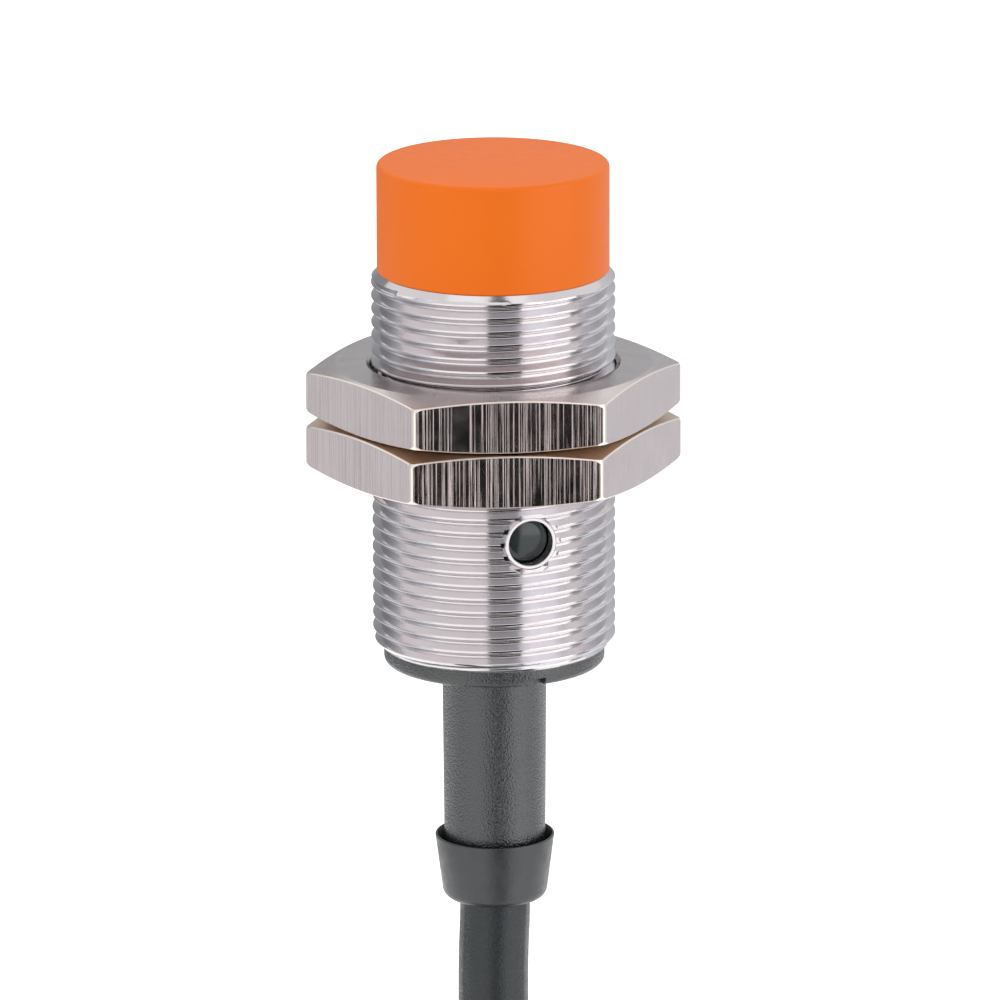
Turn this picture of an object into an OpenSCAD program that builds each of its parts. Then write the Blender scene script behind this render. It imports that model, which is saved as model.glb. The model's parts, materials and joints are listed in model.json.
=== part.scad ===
// Cylindrical inductive proximity sensor, M18 x 1, non-flush nose, moulded-in cable.
// Millimetres. +Z points out of the sensing face. The origin is on the barrel axis, in the plane
// where the two clamping nuts meet, which is where a bracket holds the sensor.
// The indicator side faces -Y.

/* [Barrel] */
// Diameter over the thread crests
thread_d = 17.9; // [15:0.05:22]
// Thread pitch
thread_pitch = 1; // [0.8:0.05:1.5]
// Depth of the thread
thread_depth = 0.6; // [0.4:0.05:0.8]
// Width of the flat on each thread crest
thread_crest = 0.16; // [0.1:0.02:0.3]
// Length of the metal barrel
barrel_len = 28.4; // [24:0.1:40]
// Wall of the barrel under the thread
barrel_wall = 0.75; // [0.5:0.05:1.2]
// Chamfer on the front end of the thread
front_chamfer = 0.5; // [0.3:0.05:0.8]
// Chamfer on the cable end of the thread
rear_chamfer = 0.75; // [0.4:0.05:0.9]
// Distance from the nuts' shared plane to the front end of the barrel
front_reach = 11; // [9:0.1:13]

/* [Sensing cap] */
// Radial step from the thread crests in to the plastic nose
cap_step = 0.43; // [0.2:0.01:0.8]
// Height of the nose ahead of the barrel
cap_h = 8; // [6:0.1:12]
// Thickness of the sensing face
cap_face = 0.8; // [0.5:0.05:1.2]
// Radius of the nose's front edge
cap_edge = 0.3; // [0.1:0.05:0.5]
// Length of the skirt inside the barrel
cap_skirt = 5; // [3:0.1:6]
// Wall of the skirt
skirt_wall = 0.6; // [0.4:0.05:0.8]

/* [Nuts] */
// Wall of a nut between its bore and its flats
nut_wall = 2.72; // [2.2:0.02:5]
// Thickness of a nut
nut_h = 4; // [3:0.1:5]
// Distance inside the flats where the corner chamfer starts
nut_face_step = 0.5; // [0.2:0.05:0.8]
// Angle of the corner chamfer to the face
nut_chamfer_angle = 15; // [10:1:30]
// Gap between the two nuts
nut_gap = 0.1; // [0.05:0.01:0.3]
// Turn of the front nut about the axis
front_nut_turn = 5.5; // [0:0.5:60]
// Turn of the rear nut about the axis
rear_nut_turn = 4.5; // [0:0.5:60]
// Wall of the threaded liner in a nut
liner_wall = 0.2; // [0.15:0.05:0.4]

/* [Indicator window] */
// Diameter of the window hole
window_d = 3.35; // [2.5:0.05:4]
// Width of the countersink round the window hole
window_sink_w = 0.275; // [0.1:0.025:0.6]
// Depth of the countersink
window_sink_depth = 0.26; // [0.1:0.02:0.4]
// Distance of the window from the cable end of the barrel
window_from_end = 9.8; // [8:0.1:14]
// Angle of the window round the barrel, from -Y towards +X
window_angle = 18; // [-40:1:40]
// Depth of the smoked lens below the thread crests
window_recess = 1.15; // [0.8:0.05:1.3]
// Width of the lens's flange round the hole, inside the barrel
window_flange_w = 0.625; // [0.4:0.025:0.9]
// Thickness of the lens's flange
window_flange_t = 0.6; // [0.4:0.05:0.8]

/* [End cap and cable sleeve] */
// Radial step from the thread crests in to the black end disc
disc_step = 0.8; // [0.3:0.05:1.2]
// Thickness of the end disc
disc_h = 1.25; // [0.8:0.05:2]
// Radius of the disc's lower edge
disc_edge = 0.45; // [0.2:0.05:0.6]
// Length of the plug inside the barrel
plug_len = 4.5; // [4:0.1:6]
// Wall of the plug inside the barrel
plug_wall = 1.9; // [1.6:0.05:2.2]
// Wall of the stem where it leaves the disc
stem_wall_top = 1.2; // [0.8:0.05:1.8]
// Wall of the stem at the ring
stem_wall_low = 1.1; // [0.7:0.05:1.6]
// Length of the stem between the disc and the ring
stem_len = 13.35; // [10:0.05:20]
// Angle of the small key notch in the disc's edge
notch_angle = 23; // [-60:1:60]
// Width of the key notch
notch_w = 1.3; // [0.6:0.05:1.8]
// Height of the key notch
notch_h = 0.6; // [0.3:0.05:0.8]
// Depth of the key notch into the disc
notch_depth = 0.9; // [0.3:0.05:1.2]
// Section diameter of the seal ring
seal_d = 0.9; // [0.8:0.05:1.1]

/* [Compression ring] */
// Wall of the ring at its rim
ring_rim_wall = 0.475; // [0.4:0.025:1.2]
// Wall of the ring at its lower end
ring_low_wall = 1.15; // [0.9:0.05:1.5]
// Height of the ring
ring_h = 4.9; // [4:0.1:7]
// Depth of the stem's seat in the ring
ring_seat = 2; // [1.5:0.1:2.5]
// Radius of the ring's lower edge
ring_edge = 0.7; // [0.3:0.05:0.9]
// Bevel of the ring's rim
ring_bevel = 0.15; // [0.05:0.05:0.3]

/* [Coil and core] */
// Gap between the pot core and the nose
core_gap = 0.25; // [0.1:0.05:0.6]
// Height of the pot core
core_h = 6; // [4:0.1:7]
// Wall of the pot core
core_wall = 1; // [0.8:0.1:1.4]
// Diameter of the core's centre post
core_post_d = 6; // [4:0.1:6.4]
// Thickness of the core's base
core_base = 1.4; // [1:0.1:2]
// Thickness of the bobbin's hub and flanges
bobbin_wall = 0.4; // [0.3:0.05:0.6]
// Depth of the winding below the bobbin's rim
winding_inset = 0.2; // [0.1:0.05:0.5]
// Distance of a coil lead inside the bobbin's rim
lead_inset = 1.15; // [0.6:0.05:1.5]
// Diameter of a coil lead
lead_d = 0.4; // [0.3:0.05:0.5]
// Length of a coil lead on the board
lead_foot = 3; // [2:0.1:4]

/* [Circuit board] */
// Gap between the board's edge and the nose's skirt
board_gap = 0.75; // [0.4:0.05:1.5]
// Thickness of the board
board_t = 1; // [0.8:0.1:1.6]
// Gap between the board and the pot core
board_top_gap = 0.5; // [0.2:0.1:1]
// Gap between the board and the plug
board_plug_gap = 0.3; // [0.1:0.1:1]
// Side of the square indicator LED
led_w = 2.8; // [2:0.1:3.2]
// Height of the LED above the board
led_h = 1.9; // [1:0.1:2.2]
// Diameter of the light guide
guide_d = 3; // [2:0.1:3.2]

/* [Cable] */
// Diameter of the cable's jacket
cable_d = 5.2; // [4.6:0.05:5.4]
// Diameter of an insulated wire
wire_d = 1.3; // [1:0.05:1.5]
// Diameter of a tinned wire end
tinned_d = 0.8; // [0.5:0.05:0.9]
// Length of a tinned wire end
tinned_len = 6; // [4:0.5:10]
// Radius of the circle that the wires lie on inside the jacket
wire_circle_r = 1.2; // [1:0.05:1.4]
// Radius of a solder joint
solder_r = 0.75; // [0.5:0.05:1]
// Spacing of the solder pads
pad_pitch = 3.6; // [2.4:0.1:4.4]

/* [Clearances] */
// Radial gap between the thread crests and a nut's liner
thread_clearance = 0.1; // [0.03:0.01:0.1]
// Radial gap between a liner and its nut
liner_clearance = 0.03; // [0.02:0.01:0.08]
// Gap round parts that are pushed into each other
push_clearance = 0.05; // [0.02:0.01:0.1]
// Gap round the stem's end in the ring's seat
seat_clearance = 0.2; // [0.1:0.05:0.4]
// Gap that the resin keeps round the parts on the board
resin_clearance = 0.1; // [0.05:0.05:0.3]

/* [Hidden] */
$fn = 96;
tiny = 0.01;

crest_r = thread_d/2;
root_r = crest_r - thread_depth;
bore_r = root_r - barrel_wall;
barrel_top = front_reach;
barrel_end = barrel_top - barrel_len;
flank = (thread_pitch - thread_crest)*0.42;
thread_count = floor((barrel_len - front_chamfer - rear_chamfer)/thread_pitch);
thread_top = barrel_top - front_chamfer - thread_crest/2;

cap_r = crest_r - cap_step;
cap_top = barrel_top + cap_h;
skirt_r = bore_r - push_clearance;
skirt_end = barrel_top - cap_skirt;
cavity_r = skirt_r - skirt_wall;
cavity_top = cap_top - cap_face;

liner_bore_r = crest_r + thread_clearance;
liner_r = liner_bore_r + liner_wall;
nut_bore_r = liner_r + liner_clearance;
nut_flat_r = nut_bore_r + nut_wall;
nut_corner_r = nut_flat_r*2/sqrt(3);
nut_face_r = nut_flat_r - nut_face_step;
nut_drop = (nut_corner_r - nut_face_r)*tan(nut_chamfer_angle);

core_r = cavity_r - core_gap;
core_top = cavity_top - push_clearance;
core_bottom = core_top - core_h;
core_floor = core_bottom + core_base;
bobbin_in_r = core_post_d/2 + push_clearance;
bobbin_out_r = core_r - core_wall - push_clearance;
bobbin_low = core_floor + push_clearance;
bobbin_top = core_top - push_clearance;
lead_x = bobbin_out_r - lead_inset;

disc_r = crest_r - disc_step;
disc_bottom = barrel_end - disc_h;
plug_r = bore_r - push_clearance;
plug_top = barrel_end + plug_len;
plug_in_r = plug_r - plug_wall;
cable_r = cable_d/2;
cable_bore_r = cable_r + push_clearance;
stem_top_r = cable_bore_r + stem_wall_top;
stem_low_r = cable_bore_r + stem_wall_low;
stem_end = disc_bottom - stem_len - ring_seat;
seal_groove_h = seal_d + 2*push_clearance;
seal_groove_z = barrel_end + plug_len/2;
seal_groove_r = bore_r - seal_d - push_clearance/2;

ring_top = disc_bottom - stem_len;
ring_bottom = ring_top - ring_h;
ring_seat_r = stem_low_r + seat_clearance;
ring_rim_r = ring_seat_r + ring_rim_wall;
ring_low_r = cable_bore_r + ring_low_wall;

board_top = core_bottom - board_top_gap;
board_bottom = plug_top + board_plug_gap;
board_half_w = cavity_r - board_gap;
face_y = board_t/2;
led_z = barrel_end + window_from_end;
led_top = face_y + led_h;
lens_out = crest_r - window_recess;
sink_r = window_d/2 + window_sink_w;
flange_r = window_d/2 + window_flange_w;
flange_out = sqrt(pow(bore_r, 2) - pow(flange_r, 2)) - push_clearance;
guide_out = flange_out - window_flange_t - push_clearance;
// Turn of the window hole's cutter about its own axis
window_seam = 110;
jacket_stub = 0.4;
jacket_top = barrel_end + jacket_stub;
plug_slope = 0.6;
wire_r = wire_d/2;
wire_y = -face_y - wire_r - push_clearance;
wire_pocket = 0.35;
wire_bend_z = board_bottom - wire_r;
wire_top_z = board_bottom + 2;
solder_z = wire_top_z + solder_r + push_clearance;
pad_x = [-pad_pitch, 0, pad_pitch];
wire_colour = ["saddlebrown", "black", "royalblue"];

// Electronic parts on the board: [across, along the barrel, width, length, height, side].
// Each stands at a set distance from the board's top or bottom end, or from the indicator LED.
IC = [0, board_top - 5.55, 3.9, 4.9, 1.5, -1];
TRANSISTOR = [0, board_bottom + 10, 4.5, 2.5, 1.5, -1];
TANTALUM = [0, led_z + 9.8, 2.8, 3.5, 1.9, 1];
CERAMIC_1 = [-3.6, board_top - 4.35, 1.25, 2, 0.9, 1];
CERAMIC_2 = [3.6, board_top - 4.35, 1.25, 2, 0.9, 1];
RESISTOR_1 = [-3.8, board_top - 10.55, 1.25, 2, 0.5, -1];
RESISTOR_2 = [3.8, board_top - 10.55, 1.25, 2, 0.5, -1];
RESISTOR_3 = [-3.6, led_z + 1, 1.25, 2, 0.5, 1];
RESISTOR_4 = [3.6, led_z + 1, 1.25, 2, 0.5, 1];
zener_z = led_z + 4.2;
zener_d = 1.6;
zener_len = 3.6;

// The cable hangs from the sensor. Its spare length is wound in a round coil that hangs below.
coil_z = -106;
coil_r1 = 22;
coil_layers = 3;
coil_columns = 4;
coil_in_r = coil_r1 - cable_r;
coil_out_r = coil_in_r + coil_layers*cable_d;
coil_half_w = coil_columns*cable_d/2;
LEAD = [
    [0, 0, ring_bottom], [0, 0, -38], [-0.12, 0, -41.5], [-0.15, 0, -46], [-0.15, 0, -51.3],
    [-0.8, 0.8, -57.5], [-2.6, 2.7, -63.5], [-5.7, 5.1, -68.9], [-9.9, 7, -73.6],
    [-15.6, 7.8, -77.6]
];
TAIL = [
    [-12.6, -8.4, -88], [-18, -10.3, -93.4], [-21.3, -12.2, -100.3], [-22, -13.2, -106],
    [-22, -13.2, -113], [-22, -13.2, -120], [-22.2, -13, -127], [-22.4, -12.8, -133],
    [-22.5, -12.5, -139], [-22.5, -12.5, -145]
];
wire_end_z = -169;
// Each outer wire's points, from the end of the jacket down to its tinned end
OUTER_WIRES = [
    [[-23.7, -12.5, -145], [-23.7, -12.5, -148], [-25.6, -12.8, -155], [-28.1, -13.4, -163],
     [-29.6, -14, wire_end_z]],
    [[-21.9, -13.6, -145], [-21.9, -13.6, -148], [-21.8, -14.8, -155], [-22, -16.2, -163],
     [-22.4, -17, wire_end_z]],
    [[-21.9, -11.4, -145], [-21.9, -11.4, -148], [-20.2, -10.6, -155], [-17.9, -9.8, -163],
     [-16.6, -9.6, wire_end_z]]
];
tie_angles = [90, 270];
tie_w = 4;
tie_t = 0.9;
tie_gap = 0.3;
tie_corner = 1.2;

// ---- shared shapes ----

// A turned shape from [radius, height] points
module turned(points) rotate_extrude() polygon(points);

// A plain tube section between two heights
module tube(in_r, out_r, low, high)
    translate([0, 0, low])
        rotate_extrude()
            translate([in_r, 0])
                square([out_r - in_r, high - low]);

// A straight round rod between two points
module rod(from, to, r) {
    along = to - from;
    turn = atan2(along.y, along.x);
    tilt = acos(along.z/norm(along));
    translate(from)
        rotate([0, tilt, turn])
            cylinder(h = norm(along), r = r, $fn = 32);
}

// Everything on the board turns with the window
module board_frame() rotate([0, 0, window_angle]) children();

// A box that stands on one face of the board
module chip(part, grow = 0) {
    depth = part[4] + 2*grow;
    middle = part[5]*(face_y + push_clearance + part[4]/2);
    board_frame()
        translate([part[0], middle, part[1]])
            cube([part[2] + 2*grow, depth, part[3] + 2*grow], center = true);
}

// A closed tube swept along a list of points, with flat ends
function unit(v) = v/norm(v);
function heading(path, i) =
    unit(path[min(i + 1, len(path) - 1)] - path[max(i - 1, 0)]);
function side_of(h) = unit(cross(h, [0, 1, 0]));
function ring_at(path, i, r, sides) =
    let (h = heading(path, i), u = side_of(h), v = cross(h, u))
    [for (k = [0:sides - 1])
        path[i] + r*(cos(360*k/sides)*u + sin(360*k/sides)*v)];
module swept(path, r, sides) {
    rings = len(path);
    points = [for (i = [0:rings - 1]) each ring_at(path, i, r, sides)];
    walls = [
        for (i = [0:rings - 2], k = [0:sides - 1])
            let (low = i*sides, high = low + sides, next = (k + 1) % sides)
            each [[low + k, low + next, high + next], [low + k, high + next, high + k]]
    ];
    first = [for (k = [0:sides - 1]) sides - 1 - k];
    last = [for (k = [0:sides - 1]) (rings - 1)*sides + k];
    polyhedron(points, concat([first], walls, [last]));
}

// ---- nose and coil ----

module sensing_cap() {
    arc = [for (a = [0:15:90])
        [cap_r - cap_edge + cap_edge*cos(a), cap_top - cap_edge + cap_edge*sin(a)]];
    color("darkorange")
        turned(concat(
            [[skirt_r, skirt_end], [skirt_r, barrel_top], [cap_r, barrel_top]],
            arc,
            [[0, cap_top], [0, cavity_top], [cavity_r, cavity_top], [cavity_r, skirt_end]]
        ));
}

module ferrite_core() {
    wall_r = core_r - core_wall;
    color("dimgray")
        difference() {
            turned([
                [0, core_bottom], [core_r, core_bottom], [core_r, core_top],
                [wall_r, core_top], [wall_r, core_floor], [core_post_d/2, core_floor],
                [core_post_d/2, core_top], [0, core_top]
            ]);
            for (side = [-1, 1]) lead_hole(side);
        }
}

module lead_hole(side)
    board_frame()
        translate([side*lead_x, lead_y(), core_bottom - 1])
            cylinder(h = core_base + 2, r = lead_d/2 + resin_clearance, $fn = 32);

function lead_y() = -face_y - lead_d/2 - push_clearance;

module coil_bobbin() {
    hub_r = bobbin_in_r + bobbin_wall;
    color("ivory")
        turned([
            [bobbin_in_r, bobbin_low], [bobbin_out_r, bobbin_low],
            [bobbin_out_r, bobbin_low + bobbin_wall], [hub_r, bobbin_low + bobbin_wall],
            [hub_r, bobbin_top - bobbin_wall], [bobbin_out_r, bobbin_top - bobbin_wall],
            [bobbin_out_r, bobbin_top], [bobbin_in_r, bobbin_top]
        ]);
}

module coil_winding()
    color("peru")
        tube(
            bobbin_in_r + bobbin_wall + push_clearance, bobbin_out_r - winding_inset,
            bobbin_low + bobbin_wall + push_clearance, bobbin_top - bobbin_wall - push_clearance
        );

module coil_lead(side)
    color("peru")
        board_frame()
            translate([side*lead_x, lead_y(), board_top - lead_foot])
                cylinder(
                    h = bobbin_low - push_clearance - board_top + lead_foot,
                    r = lead_d/2, $fn = 32
                );

// ---- barrel ----

module barrel() {
    // one groove after each crest, as closed rings; the last stretch runs plain to the chamfer
    grooves = [for (i = [0:thread_count - 1])
        let (z = thread_top - i*thread_pitch)
        each [
            [crest_r, z], [crest_r, z - thread_crest],
            [root_r, z - thread_crest - flank], [root_r, z - thread_pitch + flank]
        ]];
    last_z = thread_top - thread_count*thread_pitch;
    color("silver")
        difference() {
            turned(concat(
                [[bore_r, barrel_top], [crest_r - front_chamfer, barrel_top]],
                grooves,
                [[crest_r, last_z], [crest_r, min(last_z - tiny, barrel_end + rear_chamfer)],
                 [crest_r - rear_chamfer, barrel_end], [bore_r, barrel_end]]
            ));
            // the window's hole, whose countersink goes on past the crests
            window_axis()
                rotate([0, 0, window_seam])
                    turned([
                        [0, bore_r/2], [window_d/2, bore_r/2],
                        [window_d/2, crest_r - window_sink_depth],
                        [sink_r + window_sink_w, crest_r + window_sink_depth],
                        [0, crest_r + window_sink_depth]
                    ]);
        }
}

// +Z out through the indicator window
module window_axis()
    translate([0, 0, led_z])
        board_frame()
            rotate([90, 0, 0])
                children();

// ---- electronics ----

module circuit_board()
    color("darkgreen")
        board_frame()
            translate([-board_half_w, -face_y, board_bottom])
                cube([2*board_half_w, board_t, board_top - board_bottom]);

module oscillator_ic() color("#222222") chip(IC);
module output_transistor() color("#262626") chip(TRANSISTOR);
module tantalum_capacitor() color("goldenrod") chip(TANTALUM);
module ceramic_capacitor(part) color("tan") chip(part);
module resistor(part) color("#181818") chip(part);

module zener_diode(grow = 0)
    color("firebrick")
        board_frame()
            translate([-zener_len/2 - grow, face_y + push_clearance + zener_d/2, zener_z])
                rotate([0, 90, 0])
                    cylinder(h = zener_len + 2*grow, r = zener_d/2 + grow, $fn = 48);

module indicator_led(grow = 0)
    color("palegoldenrod")
        window_axis()
            translate([-led_w/2 - grow, -led_w/2 - grow, face_y + push_clearance])
                cube([led_w + 2*grow, led_w + 2*grow, led_h - push_clearance]);

module light_guide()
    color("lightcyan")
        window_axis()
            translate([0, 0, led_top + push_clearance])
                cylinder(h = guide_out - led_top - push_clearance, d = guide_d);

module window_lens()
    color("darkslategray")
        window_axis() {
            translate([0, 0, flange_out - window_flange_t])
                cylinder(h = window_flange_t, r = flange_r);
            cylinder_from(flange_out - tiny, lens_out, window_d - 2*push_clearance);
        }

module cylinder_from(low, high, d)
    translate([0, 0, low])
        cylinder(h = high - low, d = d);

module inner_wire(i) {
    a = 150 + 120*i;
    foot = [wire_circle_r*cos(a), wire_circle_r*sin(a), jacket_top + push_clearance];
    bend = [pad_x[i], wire_y, wire_bend_z];
    top = [pad_x[i], wire_y, wire_top_z];
    straight = [0, 0, wire_r];
    color(wire_colour[i])
        board_frame()
            swept([foot, foot + straight, bend - straight, bend + straight, top], wire_r, 8);
}

module solder(i)
    color("lightgray")
        board_frame()
            intersection() {
                translate([pad_x[i], -face_y, solder_z])
                    sphere(r = solder_r, $fn = 48);
                translate([pad_x[i] - 2, -face_y - 4 - push_clearance, solder_z - 2])
                    cube([4, 4, 4]);
            }

// The resin fills the barrel round the board and everything on it
module potting() {
    top = core_bottom - push_clearance;
    bottom = plug_top + push_clearance;
    color("dimgray")
        difference() {
            turned([
                [0, bottom], [plug_r, bottom], [plug_r, skirt_end - push_clearance],
                [cavity_r - push_clearance, skirt_end - push_clearance],
                [cavity_r - push_clearance, top], [0, top]
            ]);
            board_frame()
                translate([
                    -board_half_w - push_clearance, -face_y - push_clearance,
                    bottom - 1
                ])
                    cube([
                        2*(board_half_w + push_clearance), board_t + 2*push_clearance,
                        board_top - bottom + 1 + push_clearance
                    ]);
            for (part = [IC, TRANSISTOR, TANTALUM, CERAMIC_1, CERAMIC_2,
                         RESISTOR_1, RESISTOR_2, RESISTOR_3, RESISTOR_4])
                chip(part, resin_clearance);
            zener_diode(resin_clearance);
            indicator_led(resin_clearance);
            window_axis() {
                cylinder_from(
                    flange_out - window_flange_t - push_clearance, crest_r,
                    2*(flange_r + resin_clearance)
                );
                cylinder_from(face_y, flange_out, guide_d + 2*resin_clearance);
            }
            board_frame() {
                for (x = pad_x)
                    translate([x, wire_y, bottom - 1])
                        cylinder(
                            h = solder_z - bottom + 2, r = solder_r + wire_pocket, $fn = 48
                        );
                for (side = [-1, 1])
                    translate([side*lead_x, lead_y(), board_top - lead_foot - push_clearance])
                        cylinder(h = 2*lead_foot, r = lead_d/2 + push_clearance, $fn = 32);
            }
        }
}

// ---- cable end ----

module end_cap() {
    arc = [for (a = [0:15:90])
        [disc_r - disc_edge + disc_edge*cos(a), disc_bottom + disc_edge - disc_edge*sin(a)]];
    groove_low = seal_groove_z - seal_groove_h/2;
    groove_high = seal_groove_z + seal_groove_h/2;
    color("#2b2c2e")
        difference() {
            turned(concat(
                [[disc_r, barrel_end]], arc,
                [[stem_top_r, disc_bottom], [stem_low_r, ring_top], [stem_low_r, stem_end],
                 [cable_bore_r, stem_end], [cable_bore_r, barrel_end],
                 [plug_in_r, barrel_end + plug_slope],
                 [plug_in_r, plug_top], [plug_r, plug_top], [plug_r, groove_high],
                 [seal_groove_r, groove_high], [seal_groove_r, groove_low],
                 [plug_r, groove_low], [plug_r, barrel_end]]
            ));
            rotate([0, 0, notch_angle])
                translate([-notch_w/2, -disc_r - 1, disc_bottom - 1])
                    cube([notch_w, notch_depth + 1, notch_h + 1]);
        }
}

module seal_ring()
    color("#1c1c1c")
        translate([0, 0, seal_groove_z])
            rotate_extrude()
                translate([bore_r - seal_d/2, 0])
                    circle(d = seal_d, $fn = 32);

module compression_ring() {
    arc = [for (a = [0:15:90])
        [ring_low_r - ring_edge + ring_edge*cos(a), ring_bottom + ring_edge - ring_edge*sin(a)]];
    color("#38393b")
        turned(concat(
            [[ring_seat_r + ring_bevel, ring_top], [ring_rim_r - ring_bevel, ring_top],
             [ring_rim_r, ring_top - ring_bevel], [ring_rim_r, ring_top - 2*ring_bevel]],
            arc,
            [[cable_bore_r, ring_bottom], [cable_bore_r, ring_top - ring_seat - push_clearance],
             [ring_seat_r, ring_top - ring_seat - push_clearance], [ring_seat_r, ring_top - ring_bevel]]
        ));
}

// ---- nuts ----

// A hexagon nut with both faces chamfered, standing on z = 0
module nut_body(turn)
    color("gainsboro")
        difference() {
            intersection() {
                rotate([0, 0, turn])
                    cylinder(h = nut_h, r = nut_corner_r, $fn = 6);
                turned([
                    [0, 0], [nut_face_r, 0], [nut_corner_r, nut_drop],
                    [nut_corner_r, nut_h - nut_drop], [nut_face_r, nut_h], [0, nut_h]
                ]);
            }
            translate([0, 0, -1])
                cylinder(h = nut_h + 2, r = nut_bore_r);
        }

// The threaded inside of a nut, chamfered at both ends
module nut_liner()
    color("silver")
        turned([
            [liner_r, 0], [liner_r, nut_h], [liner_r - tiny, nut_h],
            [liner_bore_r, nut_h - liner_wall], [liner_bore_r, liner_wall], [liner_r - tiny, 0]
        ]);

module front_nut() translate([0, 0, nut_gap/2]) nut_body(front_nut_turn);
module front_nut_thread() translate([0, 0, nut_gap/2]) nut_liner();
module rear_nut() translate([0, 0, -nut_gap/2 - nut_h]) nut_body(rear_nut_turn);
module rear_nut_thread() translate([0, 0, -nut_gap/2 - nut_h]) nut_liner();

// ---- cable ----

module cable_inner()
    color("#2f3032")
        translate([0, 0, ring_bottom])
            cylinder(h = jacket_top - ring_bottom, r = cable_r);

module cable_lead() color("#2f3032") swept(LEAD, cable_r, 12);
module cable_tail() color("#2f3032") swept(TAIL, cable_r, 12);

module cable_coil()
    color("#2f3032")
        translate([0, 0, coil_z])
            rotate([90, 0, 0])
                tube(coil_in_r, coil_out_r, -coil_half_w, coil_half_w);

module outer_wire(i) color(wire_colour[i]) swept(OUTER_WIRES[i], wire_r, 8);

module tinned_end(i) {
    path = OUTER_WIRES[i];
    end = path[len(path) - 1];
    along = heading(path, len(path) - 1);
    color("lightgray")
        rod(end, end + tinned_len*along, tinned_d/2);
}

// A flat tie round the coil's section at one angle of the coil
module coil_tie(angle) {
    radial = coil_out_r - coil_in_r + 2*tie_gap;
    across = 2*coil_half_w + 2*tie_gap;
    middle = (coil_in_r + coil_out_r)/2;
    color("#202122")
        translate([0, 0, coil_z])
            rotate([0, -angle, 0])
                translate([middle, 0, -tie_w/2])
                    linear_extrude(tie_w)
                        difference() {
                            rounded_plate(radial + 2*tie_t, across + 2*tie_t, tie_corner);
                            square([radial, across], center = true);
                        }
}

module rounded_plate(w, d, r) {
    square([w - 2*r, d], center = true);
    square([w, d - 2*r], center = true);
    for (x = [-1, 1], y = [-1, 1])
        translate([x*(w/2 - r), y*(d/2 - r)])
            circle(r, $fn = 32);
}

sensing_cap();
ferrite_core();
coil_bobbin();
coil_winding();
coil_lead(-1);  // coil_lead_1
coil_lead(1);  // coil_lead_2
barrel();
circuit_board();
oscillator_ic();
output_transistor();
tantalum_capacitor();
ceramic_capacitor(CERAMIC_1);  // ceramic_capacitor_1
ceramic_capacitor(CERAMIC_2);  // ceramic_capacitor_2
resistor(RESISTOR_1);  // resistor_1
resistor(RESISTOR_2);  // resistor_2
resistor(RESISTOR_3);  // resistor_3
resistor(RESISTOR_4);  // resistor_4
zener_diode();
indicator_led();
light_guide();
window_lens();
potting();
end_cap();
seal_ring();
compression_ring();
front_nut();
front_nut_thread();
rear_nut();
rear_nut_thread();
cable_inner();
inner_wire(0);  // inner_wire_brown
inner_wire(1);  // inner_wire_black
inner_wire(2);  // inner_wire_blue
solder(0);  // solder_brown
solder(1);  // solder_black
solder(2);  // solder_blue
cable_lead();
cable_coil();
cable_tail();
outer_wire(0);  // outer_wire_brown
outer_wire(1);  // outer_wire_black
outer_wire(2);  // outer_wire_blue
tinned_end(0);  // tinned_end_brown
tinned_end(1);  // tinned_end_black
tinned_end(2);  // tinned_end_blue
coil_tie(tie_angles[0]);  // coil_tie_top
coil_tie(tie_angles[1]);  // coil_tie_low
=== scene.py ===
# %% [markdown]
# # A threaded proximity sensor
# The object is a cylindrical inductive sensor. It has an orange plastic nose, a nickel-plated
# threaded barrel with two hexagon nuts, a small smoked indicator window, a black end cap with a
# sleeve and a ring, and a black cable. The CAD frame is loaded first. Everything after it is
# either a finish for a CAD node, or a finer piece that takes a CAD node's place.

import json
import math

import bmesh
import bpy
import numpy as np
from mathutils import Matrix, Vector


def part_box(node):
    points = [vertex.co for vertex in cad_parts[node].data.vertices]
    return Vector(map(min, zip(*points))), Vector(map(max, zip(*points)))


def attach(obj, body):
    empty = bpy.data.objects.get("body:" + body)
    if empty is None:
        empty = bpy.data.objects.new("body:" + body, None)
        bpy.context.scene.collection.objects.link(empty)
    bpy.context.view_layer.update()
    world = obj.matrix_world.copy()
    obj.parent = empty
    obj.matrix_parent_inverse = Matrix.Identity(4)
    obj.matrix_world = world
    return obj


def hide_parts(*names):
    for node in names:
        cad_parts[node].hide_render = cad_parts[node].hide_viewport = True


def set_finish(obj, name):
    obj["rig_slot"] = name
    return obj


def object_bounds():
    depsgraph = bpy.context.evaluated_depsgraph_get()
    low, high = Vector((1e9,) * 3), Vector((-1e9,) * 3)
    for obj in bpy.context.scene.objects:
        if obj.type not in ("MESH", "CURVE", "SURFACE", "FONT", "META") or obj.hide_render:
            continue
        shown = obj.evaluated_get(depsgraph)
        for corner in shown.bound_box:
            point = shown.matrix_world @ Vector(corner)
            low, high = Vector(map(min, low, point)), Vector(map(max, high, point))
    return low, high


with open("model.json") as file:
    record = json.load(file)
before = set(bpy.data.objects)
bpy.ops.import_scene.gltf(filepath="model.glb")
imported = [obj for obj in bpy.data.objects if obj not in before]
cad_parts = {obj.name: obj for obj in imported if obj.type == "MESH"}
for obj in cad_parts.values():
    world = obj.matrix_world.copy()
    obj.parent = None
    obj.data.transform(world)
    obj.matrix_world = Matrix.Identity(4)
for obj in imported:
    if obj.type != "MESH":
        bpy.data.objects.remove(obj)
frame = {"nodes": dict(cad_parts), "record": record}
cad_low, cad_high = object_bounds()
MM = 0.001
print("CAD box in mm:", [round(v / MM, 1) for v in (*cad_low, *cad_high)])

# %% [markdown]
# ## Camera
# The sensor is seen from the indicator side, from a little above, through a long lens, so its
# upright edges stay almost parallel. A camera can be aimed with a constraint, but a matrix built
# from the view direction gives the same view each time and lets the small roll be set.

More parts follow.
